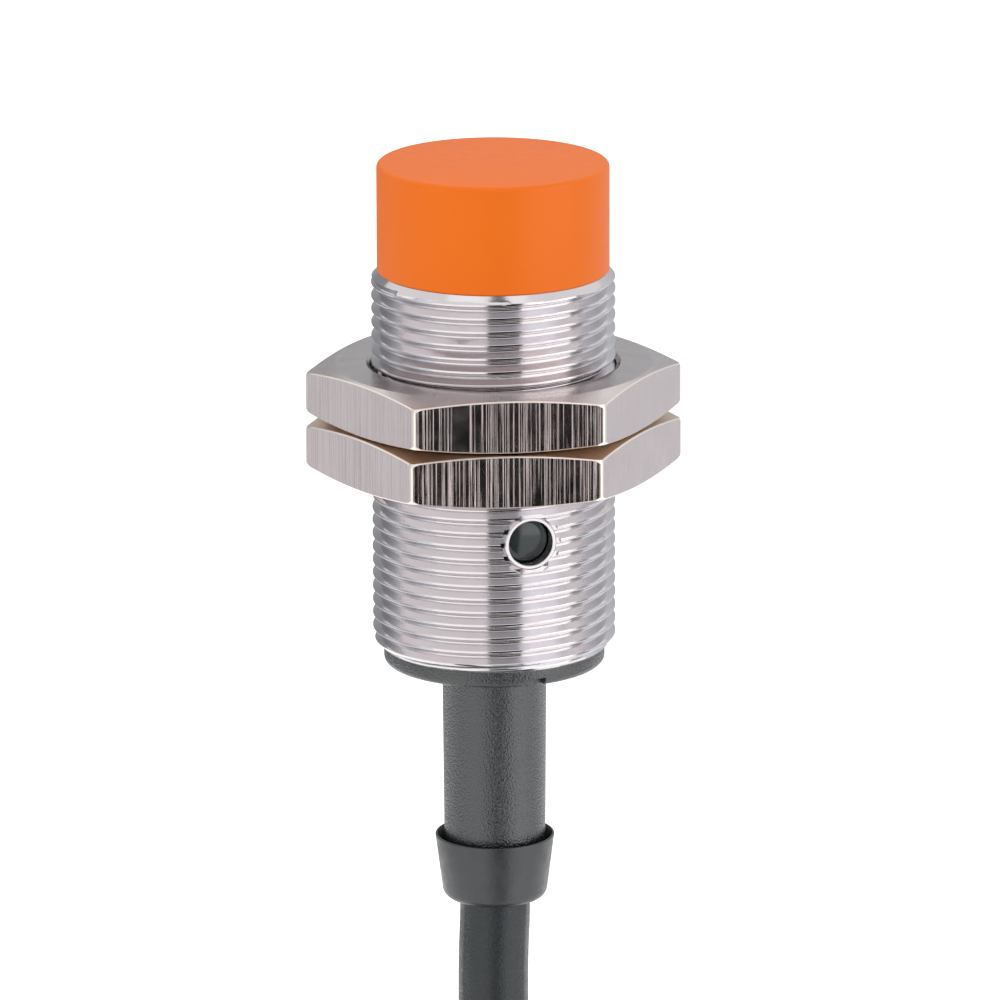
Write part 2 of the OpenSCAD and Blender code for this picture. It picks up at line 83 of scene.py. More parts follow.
# %% Aim the camera
CAMERA_AT, CAMERA_TARGET = (0, -0.68066, 0.17441), (0.00045, 0, -0.00651)
CAMERA_ROLL, LENS_MM = -0.0028, 344.5


def aim(location, target, roll):
    forward = (Vector(target) - Vector(location)).normalized()
    right = forward.cross(Vector((0, 0, 1))).normalized()
    up = right.cross(forward)
    tilted = right * math.cos(roll) + up * math.sin(roll)
    matrix = Matrix((tilted, tilted.cross(forward), -forward)).transposed().to_4x4()
    matrix.translation = Vector(location)
    return matrix


camera = bpy.data.objects.new("camera", bpy.data.cameras.new("camera"))
bpy.context.scene.collection.objects.link(camera)
camera.matrix_world = aim(CAMERA_AT, CAMERA_TARGET, CAMERA_ROLL)
camera.data.lens = LENS_MM
camera.data.sensor_width = 36
camera.data.clip_start = 0.01
bpy.context.scene.camera = camera
bpy.context.scene.view_settings.view_transform = "Standard"
print("camera distance in m:", round((Vector(CAMERA_AT) - Vector(CAMERA_TARGET)).length, 3))

# %% [markdown]
# ## Cable route
# A sensor like this is sold with two metres of cable. It leaves the ring, hangs straight down,
# and its spare length is wound in a round coil of three layers, four turns wide, as it is
# packed. A cable can be a mesh tube, but one bevelled curve keeps its round section and its true
# length. The coil is an angle that keeps growing while the radius and the side shift step by
# step, so that each turn lies beside or on the last one.

# %% Route of the cable, in millimetres
ring_low, ring_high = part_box("compression_ring")
cable_d = 5.2
LEAD = [
    (0, 0, ring_low.z / MM), (0, 0, -38), (-0.12, 0, -41.5), (-0.15, 0, -46), (-0.15, 0, -51.3),
    (-0.8, 0.8, -57.5), (-2.6, 2.7, -63.5), (-5.7, 5.1, -68.9), (-9.9, 7, -73.6),
]
TAIL = [
    (-22, -13.2, -113), (-22, -13.2, -120), (-22.2, -13, -127), (-22.4, -12.8, -133),
    (-22.5, -12.5, -139), (-22.5, -12.5, -145),
]
# The coil's middle height, outer turn's radius and side, and its first and last angle
COIL_Z, COIL_R, COIL_SIDE = -106, 32.4, 7.8
COIL_START, COIL_END = 118.74, 4140
# Where in a turn the cable shifts to the next turn, or climbs in to the next layer
SHIFT_AT, SHIFT_SPAN, CLIMB_AT, CLIMB_SPAN = 250, 90, 340, 60


def eased(angle, start, span):
    """Rises smoothly from 0 to 1 over a span of angle."""
    t = min(max((angle - start) / span, 0), 1)
    return t * t * (3 - 2 * t)


def coil_point(angle):
    """A place on the coil: out and back again in three layers, and aside at the end."""
    across, radius = COIL_SIDE, COIL_R
    for turn in (0, 1, 2, 8, 9, 10):
        across -= cable_d * eased(angle, SHIFT_AT + 360 * turn, SHIFT_SPAN)
    for turn in (4, 5, 6):
        across += cable_d * eased(angle, SHIFT_AT + 360 * turn, SHIFT_SPAN)
    for turn in (3, 7):
        radius -= cable_d * eased(angle, CLIMB_AT + 360 * turn, CLIMB_SPAN)
    across -= 5.4 * eased(angle, COIL_END - 70, 70)
    a = math.radians(angle)
    return (radius * math.cos(a), across, COIL_Z + radius * math.sin(a))


wound = [coil_point(a) for a in np.linspace(COIL_START, COIL_END, 202)]
route = [*LEAD, *wound, *TAIL]
steps = np.diff(np.array(route), axis=0)
print("cable length in m:", round(float(np.linalg.norm(steps, axis=1).sum()) * MM, 3))


# %% A bevelled curve through points
def along(name, points, diameter, sides=20, steps=4):
    """A round tube of one diameter, in millimetres, whose middle line runs through points."""
    curve = bpy.data.curves.new(name, "CURVE")
    curve.dimensions = "3D"
    curve.bevel_depth = 1
    curve.bevel_resolution = sides // 4 - 1
    curve.resolution_u = steps
    curve.use_fill_caps = True
    line = curve.splines.new("BEZIER")
    line.bezier_points.add(len(points) - 1)
    for knot, point in zip(line.bezier_points, points):
        knot.co = Vector(point) * MM
        knot.handle_left_type = knot.handle_right_type = "AUTO"
        knot.radius = diameter / 2 * MM
    piece = bpy.data.objects.new(name, curve)
    bpy.context.scene.collection.objects.link(piece)
    return piece


cable = along("cable", route, cable_d)

# %% [markdown]
# ## Wires at the cable's end
# Three insulated wires leave the jacket and fan out, each with a stripped and tinned end of
# twisted strands. The wires are curves like the cable. Each tinned end is six fine curves
# that turn round one line, because the twist is what the eye reads as stranded wire.

# %% Wires and tinned ends
WIRES = {
    "brown": [(-23.7, -12.5, -144), (-23.7, -12.5, -148), (-25.6, -12.8, -155),
              (-28.1, -13.4, -163), (-29.6, -14, -169)],
    "black": [(-21.9, -13.6, -144), (-21.9, -13.6, -148), (-21.8, -14.8, -155),
              (-22, -16.2, -163), (-22.4, -17, -169)],
    "blue": [(-21.9, -11.4, -144), (-21.9, -11.4, -148), (-20.2, -10.6, -155),
             (-17.9, -9.8, -163), (-16.6, -9.6, -169)],
}
WIRE_D = 1.3
TINNED_LEN, STRAND_D, TWIST_R = 6, 0.28, 0.26
STRANDS, STRAND_STEPS, STEP_TURN = 6, 24, 20


def tinned(name, start, direction):
    """Six fine strands that turn round one line."""
    direction = Vector(direction).normalized()
    side = direction.cross(Vector((0, 1, 0))).normalized()
    other = direction.cross(side)
    piece = along(name, [start, start], STRAND_D, sides=8, steps=1)
    piece.data.splines.clear()
    for strand in range(STRANDS):
        line = piece.data.splines.new("POLY")
        line.points.add(STRAND_STEPS)
        for k, knot in enumerate(line.points):
            turn = math.radians(360 / STRANDS * strand + STEP_TURN * k)
            spot = Vector(start) + direction * (TINNED_LEN * k / STRAND_STEPS)
            spot += TWIST_R * (side * math.cos(turn) + other * math.sin(turn))
            knot.co = (*(spot * MM), 1)
            knot.radius = STRAND_D / 2 * MM
    return piece


cable_ends = []
for colour, points in WIRES.items():
    wire = along("wire_" + colour, points, WIRE_D, sides=16, steps=6)
    last, before = Vector(points[-1]), Vector(points[-2])
    strands = tinned("strands_" + colour, last - (last - before).normalized(), last - before)
    for piece, node, slot in (
        (wire, "outer_wire_" + colour, "wire_" + colour),
        (strands, "tinned_end_" + colour, "solder_tin"),
    ):
        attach(piece, "sensor")
        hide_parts(node)
        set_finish(piece, slot)
        cable_ends.append(piece)

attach(cable, "sensor")
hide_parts("cable_lead", "cable_coil", "cable_tail")
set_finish(cable, "pvc_jacket")
print("cable and", len(cable_ends), "pieces at its end")

# %% [markdown]
# ## Light
# The metal shows what stands round it, so most of this step makes things for it to reflect. The
# world gives an even white light. Bent cards stand round the sensor, and only mirror rays meet
# them, so they shade the metal and nothing else. A dark one in front, below the camera's line of
# sight, gives the dark band on the thread and the dark front faces of the nuts. A graded one
# round the sides and the back gives the greys of the other faces. Two soft boxes add gloss. Real
# lamps and flags would do it too, but cards of a known brightness are easy to follow and to move.

# %% One function that adds a shader node
def add(tree, kind, settings=None, links=None):
    """Adds a node, sets its sockets or properties, and links its inputs by name."""
    made = tree.nodes.new(kind)
    for name, value in (settings or {}).items():
        if name in made.inputs:
            made.inputs[name].default_value = value
        else:
            setattr(made, name, value)
    for name, source in (links or {}).items():
        tree.links.new(source, made.inputs[name])
    return made


def linear(hex_colour):
    """An sRGB hex colour as linear red, green, blue and alpha."""
    parts = [int(hex_colour[i : i + 2], 16) / 255 for i in (1, 3, 5)]
    return (*[p / 12.92 if p <= 0.04045 else ((p + 0.055) / 1.055) ** 2.4 for p in parts], 1)


# %% The world: white where it is seen, a little dimmer as light
def white_where_seen(tree, seen, lit):
    """Camera, mirror and glass rays get the first shader, and light gets the second."""
    ray = add(tree, "ShaderNodeLightPath")
    mirror = add(tree, "ShaderNodeMath", {"operation": "MAXIMUM"})
    tree.links.new(ray.outputs["Is Camera Ray"], mirror.inputs[0])
    tree.links.new(ray.outputs["Is Glossy Ray"], mirror.inputs[1])
    glass = add(tree, "ShaderNodeMath", {"operation": "MAXIMUM"})
    tree.links.new(mirror.outputs[0], glass.inputs[0])
    tree.links.new(ray.outputs["Is Transmission Ray"], glass.inputs[1])
    mix = add(tree, "ShaderNodeMixShader")
    tree.links.new(glass.outputs[0], mix.inputs[0])
    tree.links.new(lit.outputs[0], mix.inputs[1])
    tree.links.new(seen.outputs[0], mix.inputs[2])
    return mix


world = bpy.data.worlds.new("studio")
bpy.context.scene.world = world
world.use_nodes = True
world.node_tree.nodes.clear()
WHITE, WORLD_LIGHT = linear("#ffffff"), 0.95
tree = world.node_tree
bright = add(tree, "ShaderNodeBackground", {"Color": WHITE, "Strength": 1})
dim = add(tree, "ShaderNodeBackground", {"Color": WHITE, "Strength": WORLD_LIGHT})
sky = white_where_seen(tree, bright, dim)
add(tree, "ShaderNodeOutputWorld", links={"Surface": sky.outputs[0]})
print("world:", len(tree.nodes), "nodes")


# %% The floor
def sheet_at(name, corners, material):
    """A strip of flat faces between pairs of corners."""
    mesh = bpy.data.meshes.new(name)
    rows = range(0, len(corners) - 2, 2)
    mesh.from_pydata([Vector(c) for c in corners], [], [(k, k + 2, k + 3, k + 1) for k in rows])
    mesh.materials.append(material)
    made = bpy.data.objects.new(name, mesh)
    bpy.context.scene.collection.objects.link(made)
    return made


def plain(name):
    """A material with no nodes yet."""
    material = bpy.data.materials.new(name)
    material.use_nodes = True
    material.node_tree.nodes.clear()
    return material


floor_paint = plain("white_floor")
tree = floor_paint.node_tree
lit = add(tree, "ShaderNodeBsdfDiffuse", {"Color": linear("#f4f4f4")})
glow = add(tree, "ShaderNodeEmission", {"Color": WHITE, "Strength": 0.55})
lifted = add(tree, "ShaderNodeAddShader")
tree.links.new(lit.outputs[0], lifted.inputs[0])
tree.links.new(glow.outputs[0], lifted.inputs[1])
paint = white_where_seen(tree, lifted, lit)
add(tree, "ShaderNodeOutputMaterial", links={"Surface": paint.outputs[0]})
floor_z = cad_low.z - 0.001
floor = sheet_at("floor", [(x, y, floor_z) for x in (-6, 6) for y in (-6, 6)], floor_paint)
print("floor at", round(floor_z, 4), "m")


# %% Cards for the metal to reflect
CARD_TINT = (1, 1.05, 1.1)
FRONT_CARD_R, CARD_R = 0.3, 0.45


def round_axis(azimuth, distance, z):
    """A point at an azimuth from the front, towards +X."""
    a = math.radians(azimuth)
    return (distance * math.sin(a), -distance * math.cos(a), z)


def card(name, stops, low, top, near=CARD_R, far=CARD_R):
    """A bent card that only mirror rays meet. Each stop is an azimuth and how bright it looks.
    Its lower edge runs at the near radius, and its top edge at the far one."""
    paint = plain(name)
    tone = add(paint.node_tree, "ShaderNodeAttribute", {"attribute_name": "tone"})
    glow = add(paint.node_tree, "ShaderNodeEmission", links={"Color": tone.outputs["Color"]})
    add(paint.node_tree, "ShaderNodeOutputMaterial", links={"Surface": glow.outputs[0]})
    corners = [p for a, _ in stops for p in (round_axis(a, near, low), round_axis(a, far, top))]
    made = sheet_at(name, corners, paint)
    tones = made.data.color_attributes.new("tone", "FLOAT_COLOR", "POINT")
    for k, (_, level) in enumerate(stops):
        shade = (*[level * part for part in CARD_TINT], 1)
        tones.data[2 * k].color = tones.data[2 * k + 1].color = shade
    made.visible_camera = made.visible_diffuse = made.visible_shadow = False
    print(name, "from", stops[0][0], "to", stops[-1][0], "degrees")


ahead_dark = (-6, 10, 27)
card("dark_card", [(a, 0.008) for a in ahead_dark], -0.17, 0.02, FRONT_CARD_R, FRONT_CARD_R)
card("foreground", [(a, 0.6) for a in ahead_dark] + [(30, 1.3), (40, 1.7), (66, 1.7), (82, 1.0)],
     floor_z + 0.001, floor_z + 0.001, near=0.02, far=FRONT_CARD_R)
card("dark_overhead", [(a, 0.2) for a in ahead_dark], 0.45, 0.45, near=0.06, far=0.26)
card("surround", [
    (84, 0.44), (99, 0.44), (103, 0.92), (115, 0.86), (127, 0.7), (141, 0.76), (155, 0.65),
    (170, 0.5), (190, 0.38), (205, 0.32), (224, 0.34), (237, 0.5), (248, 0.78), (260, 0.57),
    (270, 0.5), (278, 0.64), (285, 0.82), (292, 0.95), (300, 1.0),
], -0.17, 0.22)


# %% Soft boxes
def soft_box(name, azimuth, elevation, distance, size, level):
    """An area lamp that faces the sensor and adds only gloss. level is how bright its face
    looks, where 1 is white."""
    lamp = bpy.data.lights.new(name, "AREA")
    lamp.shape = "RECTANGLE"
    lamp.size, lamp.size_y = size
    lamp.energy = level * math.pi * size[0] * size[1]
    made = bpy.data.objects.new(name, lamp)
    flat = distance * math.cos(math.radians(elevation))
    spot = Vector(round_axis(azimuth, flat, distance * math.sin(math.radians(elevation))))
    facing = (-spot).to_track_quat("-Z", "Y").to_matrix().to_4x4()
    made.matrix_world = Matrix.Translation(spot) @ facing
    made.visible_diffuse = False
    bpy.context.scene.collection.objects.link(made)
    print(name, "level", level)


soft_box("soft_box_right", 56, 8, 0.9, (0.9, 1.1), 1.2)
soft_box("soft_box_top", -20, 75, 1.0, (0.8, 0.8), 0.25)

# %% [markdown]
# ## Finishes
# Every finish starts from the real material and how its surface was made. Plastics share one
# recipe: a moulded skin with a slight colour drift and a fine grain. Metals share another: a
# plated surface whose tool marks run one way. Pattern sizes are given in millimetres.

# %% A surface and the two recipes
def surface(name, roughness, metallic=0.0, ior=1.5, specular=0.5):
    """A Principled material. A metal keeps the shader's own IOR, which is 1.5."""
    material = plain(name)
    settings = {"Roughness": roughness, "Metallic": metallic, "IOR": ior,
                "Specular IOR Level": specular}
    shader = add(material.node_tree, "ShaderNodeBsdfPrincipled", settings)
    add(material.node_tree, "ShaderNodeOutputMaterial", links={"Surface": shader.outputs[0]})
    return material, material.node_tree, shader


def drift(tree, place, size_mm, low, high, detail=3.0):
    """Noise of one size in millimetres, remapped to run from low to high."""
    noise = add(tree, "ShaderNodeTexNoise", {"Scale": 1 / (size_mm * MM), "Detail": detail},
                {"Vector": place})
    span = add(tree, "ShaderNodeMapRange", {"From Min": 0.3, "From Max": 0.7,
               "To Min": low, "To Max": high}, {"Value": noise.outputs["Fac"]})
    return span.outputs[0]


def two_tones(tree, shader, place, size_mm, one, other):
    """The base colour drifts between two linear colours."""
    tone = add(tree, "ShaderNodeMix", {"data_type": "RGBA"})
    tree.links.new(drift(tree, place, size_mm, 0, 1), tone.inputs[0])
    tone.inputs[6].default_value = one
    tone.inputs[7].default_value = other
    tree.links.new(tone.outputs[2], shader.inputs["Base Color"])


def darker(colour, share):
    return (*[share * v for v in linear(colour)[:3]], 1)


def moulded(name, colour, shade, roughness, grain_mm, grain_deep_mm, ior=1.5, spread=0.08,
            specular=0.5):
    """A moulded plastic or rubber: two close colours, a fine grain, and a skin that varies."""
    material, tree, shader = surface(name, roughness, ior=ior, specular=specular)
    place = add(tree, "ShaderNodeTexCoord").outputs["Object"]
    two_tones(tree, shader, place, 6, linear(colour), linear(shade))
    tree.links.new(drift(tree, place, 3 * grain_mm, roughness - spread, roughness + spread),
                   shader.inputs["Roughness"])
    grain = drift(tree, place, grain_mm, 0, 1, detail=2)
    bump = add(tree, "ShaderNodeBump", {"Strength": 1, "Distance": grain_deep_mm * MM},
               {"Height": grain})
    tree.links.new(bump.outputs[0], shader.inputs["Normal"])
    return material


# %% [markdown]
# ### Plastics and rubber
# The nose is PBT, injection moulded with a satin skin: an even orange with soft highlights. The
# end cap and its sleeve are moulded in a spark-eroded tool, so they carry a coarse grain that
# sparkles where light grazes it. The ring has a finer skin. The PVC jacket of the cable is matt
# with a faint drawn grain.

# %% Plastic and rubber finishes
FINISH = {
    # Satin orange. Its fine skin spreads the highlights into one soft sheen.
    "orange_pbt": moulded("pbt_orange", "#fa7602", "#f87301", 0.4, 0.25, 0.0015, spread=0.03,
                          specular=0.24),
    # Spark-eroded black. The coarse grain breaks the highlight into sparkling specks.
    "black_pbt": moulded("pbt_black_textured", "#1f2426", "#1b2022", 0.2, 0.15, 0.026,
                         spread=0.05, specular=1.0),
    # Finer black skin, which looks smoother and a little deeper than the sleeve.
    "black_sleeve": moulded("pbt_black_satin", "#26292b", "#222527", 0.34, 0.3, 0.006,
                            specular=0.75),
    # Extruded PVC: a soft grey sheen along the cable, with a faint grain.
    "pvc_jacket": moulded("pvc_black", "#1f2629", "#1c2225", 0.34, 0.16, 0.02),
    # Cast resin: dark and smooth with slow waves, as it was poured.
    "potting_resin": moulded("epoxy_resin", "#3b3c3f", "#2f3033", 0.35, 1.5, 0.02, ior=1.55),
    # Moulded nitrile rubber: deep black with hardly any shine.
    "black_rubber": moulded("nbr_rubber", "#17171a", "#1f1f21", 0.6, 0.3, 0.004, ior=1.52),
    # Natural nylon: a creamy white with a soft shine.
    "white_nylon": moulded("nylon_natural", "#e3ddcc", "#d8d1bd", 0.45, 0.4, 0.003, ior=1.53),
    # Moulded epoxy of a chip: matt, near black and even.
    "black_epoxy": moulded("epoxy_moulded_black", "#1c1d1f", "#242527", 0.55, 0.15, 0.004,
                           ior=1.55),
    # Extruded PVC of the three wires: plain colours with a smooth, waxy skin.
    "wire_brown": moulded("pvc_brown", "#6a3d22", "#5f361d", 0.42, 0.3, 0.004, ior=1.53),
    "wire_black": moulded("pvc_wire_black", "#1b1b1d", "#222224", 0.42, 0.3, 0.004, ior=1.53),
    "wire_blue": moulded("pvc_blue", "#2b62ae", "#2558a0", 0.42, 0.3, 0.004, ior=1.53),
    # Woven nylon of the ties: black, and rough enough to lose its highlights.
    "black_tie": moulded("nylon_black_woven", "#1c1c1e", "#262628", 0.7, 0.5, 0.06, ior=1.53),
    # Sintered ferrite: a dull dark grey, slightly gritty.
    "ferrite": moulded("ferrite_sintered", "#414245", "#37383a", 0.6, 0.2, 0.01, ior=2.2),
    # Dipped epoxy of a capacitor: a warm yellow with a soft shine.
    "tantalum_yellow": moulded("epoxy_moulded_yellow", "#d9a22f", "#cf962a", 0.45, 0.2, 0.003),
    # Fired ceramic: a dense tan with a dry sheen.
    "ceramic_tan": moulded("ceramic_fired_tan", "#b89468", "#a98559", 0.4, 0.2, 0.002, ior=1.7),
    # Solder mask: a glossy dark green lacquer over the weave of the board.
    "green_board": moulded("solder_mask_green", "#12603a", "#0e5432", 0.3, 0.6, 0.008, ior=1.52),
}
print(len(FINISH), "plastic and rubber finishes")

# %% [markdown]
# ### Clear and glassy finishes
# The window is a smoked plastic lens, dark grey-green and polished, so it shows a small sharp
# reflection over a dark depth. The light guide is clear acrylic, the LED a tinted clear resin,
# and the diode a red glass bead. A Glass shader would do for the clear ones, but one Principled
# recipe covers all four with different amounts of light let through.

# %% Clear finishes
def clear(name, colour, through, roughness, ior):
    """A clear or tinted plastic or glass. through is how much light passes."""
    material, tree, shader = surface(name, roughness, ior=ior)
    shader.inputs["Transmission Weight"].default_value = through
    place = add(tree, "ShaderNodeTexCoord").outputs["Object"]
    two_tones(tree, shader, place, 2, linear(colour), darker(colour, 0.85))
    return material


FINISH["smoked_lens"] = clear("pmma_smoked", "#3c4646", 0.25, 0.12, 1.49)
FINISH["clear_guide"] = clear("pmma_clear", "#e6efef", 0.9, 0.08, 1.49)
FINISH["red_glass"] = clear("glass_red", "#9c2a1c", 0.5, 0.06, 1.5)
FINISH["led_yellow"] = clear("epoxy_led", "#efe08a", 0.4, 0.15, 1.55)
print("window finish:", FINISH["smoked_lens"].name)

# %% [markdown]
# ### Plated brass
# The barrel and the nuts are brass with a thin nickel plate, which looks like warm silver. The
# thread is cut, so its flanks are bright and carry fine marks along the cut. The nuts are sawn
# from drawn hexagon bar: their flats keep upright drawing lines, which catch light as bright
# streaks, while their faces are turned and carry rings. One recipe makes them all. It squeezes
# a noise along one direction, so that only the lines across it are left.

# %% Metal finishes
def ring_place(tree, place):
    """The distance from the Z axis as a place, so that a pattern made on it forms rings."""
    parts = add(tree, "ShaderNodeSeparateXYZ", links={"Vector": place})
    flat = add(tree, "ShaderNodeCombineXYZ",
               links={"X": parts.outputs[0], "Y": parts.outputs[1]})
    size = add(tree, "ShaderNodeVectorMath", {"operation": "LENGTH"}, {"Vector": flat.outputs[0]})
    return add(tree, "ShaderNodeCombineXYZ", links={"X": size.outputs["Value"]}).outputs[0]


def plated(name, colour, roughness, squeeze, line_mm, line_deep_mm, rings=False, ridges=(0, 1)):
    """A plated metal with tool lines. squeeze scales the pattern along X, Y and Z, and ridges
    are the levels of the pattern between which its height rises."""
    material, tree, shader = surface(name, roughness, metallic=1.0)
    place = add(tree, "ShaderNodeTexCoord").outputs["Object"]
    if rings:
        line_place = ring_place(tree, place)
    else:
        mapped = add(tree, "ShaderNodeMapping", {"Scale": squeeze}, {"Vector": place})
        line_place = mapped.outputs[0]
    lines = add(tree, "ShaderNodeMapRange", {"From Min": ridges[0], "From Max": ridges[1]},
                {"Value": drift(tree, line_place, line_mm, 0, 1, detail=4)})
    two_tones(tree, shader, place, 4, linear(colour), darker(colour, 0.94))
    tree.links.new(drift(tree, place, 1.2, roughness - 0.04, roughness + 0.04),
                   shader.inputs["Roughness"])
    bump = add(tree, "ShaderNodeBump", {"Strength": 1, "Distance": line_deep_mm * MM},
               {"Height": lines.outputs[0]})
    tree.links.new(bump.outputs[0], shader.inputs["Normal"])
    return material


NO_SQUEEZE = (1, 1, 1)
# Nickel over cut brass: bright, with fine marks that follow the thread.
FINISH["nickel_brass_thread"] = plated(
    "nickel_on_cut_brass", "#d6d1d3", 0.13, (1, 1, 6), 0.8, 0.002)
# Nickel over turned brass: warm silver with faint rings.
FINISH["nickel_brass_nut"] = plated(
    "nickel_on_turned_brass", "#d6cdcb", 0.24, NO_SQUEEZE, 0.12, 0.0008, rings=True)
# Nickel over drawn brass: long upright lines that catch light as streaks. The real ones are
# finer, and are drawn as coarse as they need to show.
drawn = plated("nickel_on_drawn_brass", "#dfd0ce", 0.17, (1, 1, 0.004), 0.12, 0.0065,
               ridges=(0.6, 0.88))
# Worn edges, where the plate is thin and the brass warms it to cream. The cream is paler than the
# plate, a painted highlight along the edge bevels.
edge_wear_and_highlight = plated("brass_edge_painted_highlight", "#f0e3da", 0.3, NO_SQUEEZE, 0.5, 0.002)
# The rear nut's top chamfer, which faces the other nut: duller, and painted tan for the warm
# reflection and shade that the two nuts throw on each other.
nut_top_painted_reflection = plated("nickel_warm_painted_reflection", "#dfc9b2", 0.34, NO_SQUEEZE, 0.5, 0.002)
# Enamelled copper wire: warm, with marks round each turn.
FINISH["copper_wire"] = plated("copper_enamelled", "#c0703a", 0.3, (1, 1, 8), 0.4, 0.02)
# Solder and tinned copper: a soft grey shine.
FINISH["solder_tin"] = plated("tin_solder", "#c9c9c6", 0.3, NO_SQUEEZE, 0.5, 0.01)
print("thread finish:", FINISH["nickel_brass_thread"].name)

# %% Put each finish on its CAD node
for part in frame["record"]["subparts"]:
    shape = frame["nodes"][part["node"]].data
    shape.materials.clear()
    shape.materials.append(FINISH[part["material_slot"]])
print(len(FINISH), "finishes for", len(frame["nodes"]), "CAD nodes")

# %% [markdown]
# ## Turned pieces
# The nose, the end cap, the ring and the lens are round, so each is a profile of radius and
# height that is turned about an axis. Blender's Screw modifier can do that, but a small function
# keeps the corners' rounding and the order of the points in sight. Moulded corners are never
# quite sharp, so each corner is replaced by a short arc.

# %% Round a profile's corners and turn it
def rounded(profile, steps=4):
    """Corners of (radius, height, rounding) in millimetres become arcs."""
    points = []
    for i, (r, z, size) in enumerate(profile):
        here = Vector((r, z))
        if not size:
            points.append(here)
            continue
        back = (Vector(profile[i - 1][:2]) - here).normalized()
        ahead = (Vector(profile[(i + 1) % len(profile)][:2]) - here).normalized()
        half = back.angle(ahead) / 2
        reach = size / math.tan(half)
        middle = here + (back + ahead).normalized() * (size / math.sin(half))
        first, last = here + back * reach - middle, here + ahead * reach - middle
        for k in range(steps + 1):
            t = k / steps
            points.append(middle + first.slerp(last, t).normalized() * size)
    return [(p.x, p.y) for p in points]


def quads(columns, rows, joined=True):
    """Faces between neighbouring columns of points, where each column is a closed outline."""
    faces = []
    for s in range(columns if joined else columns - 1):
        t = (s + 1) % columns
        for k in range(rows):
            n = (k + 1) % rows
            faces.append((s * rows + k, t * rows + k, t * rows + n, s * rows + n))
    return faces


def column_at(angle, outline):
    """An outline of (radius, height) in millimetres, set at an angle in radians."""
    return [(r * math.cos(angle) * MM, r * math.sin(angle) * MM, z * MM) for r, z in outline]


def turned(name, profile, sides=160, frame_of=None):
    """A profile of (radius, height) turned about the Z axis, then moved by frame_of."""
    verts = []
    for s in range(sides):
        verts += column_at(2 * math.pi * s / sides, profile)
    return solid(name, verts, quads(sides, len(profile)), frame_of)


def solid(name, verts, faces, frame_of=None, sharp=32):
    """A closed mesh with doubles merged, faces turned outwards and crisp corners."""
    mesh = bpy.data.meshes.new(name)
    mesh.from_pydata(verts, [], faces)
    work = bmesh.new()
    work.from_mesh(mesh)
    bmesh.ops.remove_doubles(work, verts=work.verts, dist=2e-7)
    bmesh.ops.recalc_face_normals(work, faces=work.faces)
    if frame_of:
        work.transform(frame_of)
    work.to_mesh(mesh)
    work.free()
    mesh.shade_smooth()
    mesh.set_sharp_from_angle(angle=math.radians(sharp))
    piece = bpy.data.objects.new(name, mesh)
    bpy.context.scene.collection.objects.link(piece)
    return piece


def carve(piece, cutter, sharp=32):
    """Cuts one solid out of another and keeps the result as a plain mesh."""
    cut = piece.modifiers.new("cut", "BOOLEAN")
    cut.operation, cut.solver, cut.object = "DIFFERENCE", "EXACT", cutter
    result = piece.evaluated_get(bpy.context.evaluated_depsgraph_get())
    mesh = bpy.data.meshes.new_from_object(result)
    piece.modifiers.clear()
    piece.data = mesh
    mesh.shade_smooth()
    mesh.set_sharp_from_angle(angle=math.radians(sharp))
    bpy.data.objects.remove(cutter)
    return piece


def fit(piece, body, node, slot, finish=None):
    """The piece takes a CAD node's place, rides on its body and gets its finish."""
    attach(piece, body)
    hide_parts(node)
    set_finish(piece, slot)
    if not piece.data.materials:
        piece.data.materials.append(finish or FINISH[slot])
    print(piece.name, len(piece.data.polygons) if piece.type == "MESH" else "curve")


for piece in (cable, *cable_ends):
    piece.data.materials.append(FINISH[piece["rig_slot"]])

# %% [markdown]
# ## Nose
# The nose is one orange moulding: a round cap ahead of the barrel, and a thinner skirt that is
# pressed into it. A cylinder with a bevel would show the same from outside, but the turned
# profile also has the skirt and the hollow that holds the coil.

# %% Turn the nose
barrel_low, barrel_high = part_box("barrel")
cap_low, cap_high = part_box("sensing_cap")
CREST_R, BARREL_TOP, BARREL_END = barrel_high.x / MM, barrel_high.z / MM, barrel_low.z / MM
CAP_R, CAP_TOP, SKIRT_END = cap_high.x / MM, cap_high.z / MM, cap_low.z / MM
BORE_FIT_R, SKIRT_IN_R, FACE_T = 7.55, 6.95, 0.8
nose = turned("nose", rounded([
    (BORE_FIT_R, SKIRT_END, 0.1), (BORE_FIT_R, BARREL_TOP, 0), (CAP_R, BARREL_TOP, 0.12),
    (CAP_R, CAP_TOP, 0.35), (0, CAP_TOP, 0), (0, CAP_TOP - FACE_T, 0),
    (SKIRT_IN_R, CAP_TOP - FACE_T, 0), (SKIRT_IN_R, SKIRT_END, 0.1),
], steps=6), sides=192)
fit(nose, "sensor", "sensing_cap", "orange_pbt")

# %% [markdown]
# ## Threaded barrel
# The thread is M18 x 1: one crest a millimetre, right-hand, so it climbs by a millimetre in each
# turn. It could be a Screw modifier with a profile, but the ends need chamfers, so the mesh is
# built column by column: each column of points round the barrel is the same profile, lifted a
# little more, and held inside the chamfers. After a full turn the lift is one pitch, and the
# last column meets the first.

# %% The thread's profile
PITCH, DEPTH, CREST_W, EDGE = 1.0, 0.6, 0.16, 0.025
FRONT_CHAMFER, REAR_CHAMFER, BORE_R = 0.5, 0.75, 7.6
CREST_AT_FRONT, PLAIN_FROM = 10.44, 10.47
FLANK = (PITCH - CREST_W) * 0.42
slope = Vector((FLANK, DEPTH)).normalized() * EDGE
ROOT_R = CREST_R - DEPTH


